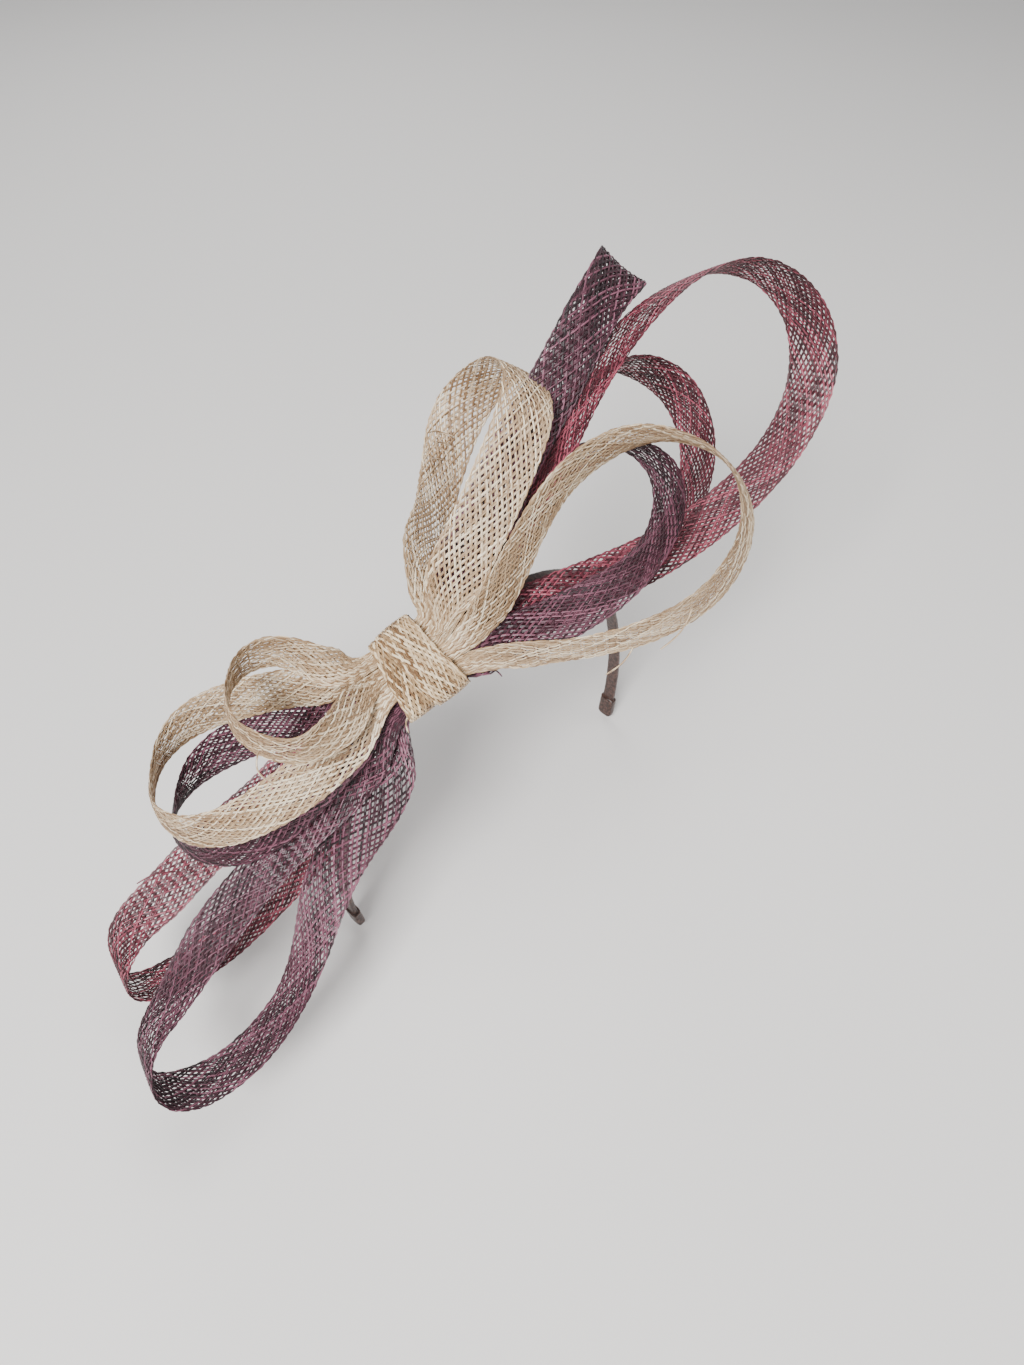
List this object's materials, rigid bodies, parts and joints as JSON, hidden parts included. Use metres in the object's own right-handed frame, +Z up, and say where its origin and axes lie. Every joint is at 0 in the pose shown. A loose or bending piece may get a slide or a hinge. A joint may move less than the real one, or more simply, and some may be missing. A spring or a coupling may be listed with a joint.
{
  "type": "fascinator headpiece",
  "caption": "Head band with sprung arms that carries a spray of looped open-weave strips, gathered through a cloth wrap and sewn on beside the crown.",
  "frame": {"origin": "the middle of the band's inner face at the top of the crown, where it seats on the head", "axes": "+Z up, the wearer looks along -Y, the band lies in the XZ plane and the wearer's right is -X"},
  "size_m": [0.3296, 0.1218, 0.2393],
  "materials": {
    "spring_steel": "satin",
    "band_satin": "satin",
    "tip_satin": "satin",
    "sewing_thread": "matte",
    "wrap_cloth": "matte",
    "felt": "matte",
    "cream_sinamay": "open weave, slight sheen",
    "plum_sinamay": "open weave, slight sheen",
    "rose_sinamay": "open weave, slight sheen"
  },
  "bodies": {
    "crown": {"band_core_crown": "spring_steel", "band_cover_crown": "band_satin", "binding_thread": "sewing_thread", "centre_wrap": "wrap_cloth", "felt_pad": "felt", "felt_patch": "felt", "lashing_thread": "sewing_thread", "cream_loop_upright": "cream_sinamay", "cream_loop_round": "cream_sinamay", "plum_loop_tall": "plum_sinamay", "plum_loop_round": "plum_sinamay", "rose_loop_great": "rose_sinamay", "rose_loop_back": "rose_sinamay", "cream_loop_small": "cream_sinamay", "cream_loop_wide": "cream_sinamay", "plum_loop_under": "plum_sinamay", "plum_loop_low": "plum_sinamay", "rose_loop_low": "rose_sinamay", "plum_strip_tail": "plum_sinamay"},
    "left_arm": {"band_core_left_arm": "spring_steel", "band_cover_left_arm": "band_satin", "end_tip_left": "tip_satin"},
    "right_arm": {"band_core_right_arm": "spring_steel", "band_cover_right_arm": "band_satin", "end_tip_right": "tip_satin"}
  },
  "joints": [
    {"name": "left_arm_flex", "type": "hinge", "parent": "crown", "child": "left_arm", "pos_m": [0.07555, 0, -0.0505], "axis": [0, -1, 0], "range_deg": [0, 8], "stiffness_Nm_per_rad": 1.7},
    {"name": "right_arm_flex", "type": "hinge", "parent": "crown", "child": "right_arm", "pos_m": [-0.07555, 0, -0.0505], "axis": [0, 1, 0], "range_deg": [0, 8], "stiffness_Nm_per_rad": 1.7}
  ]
}
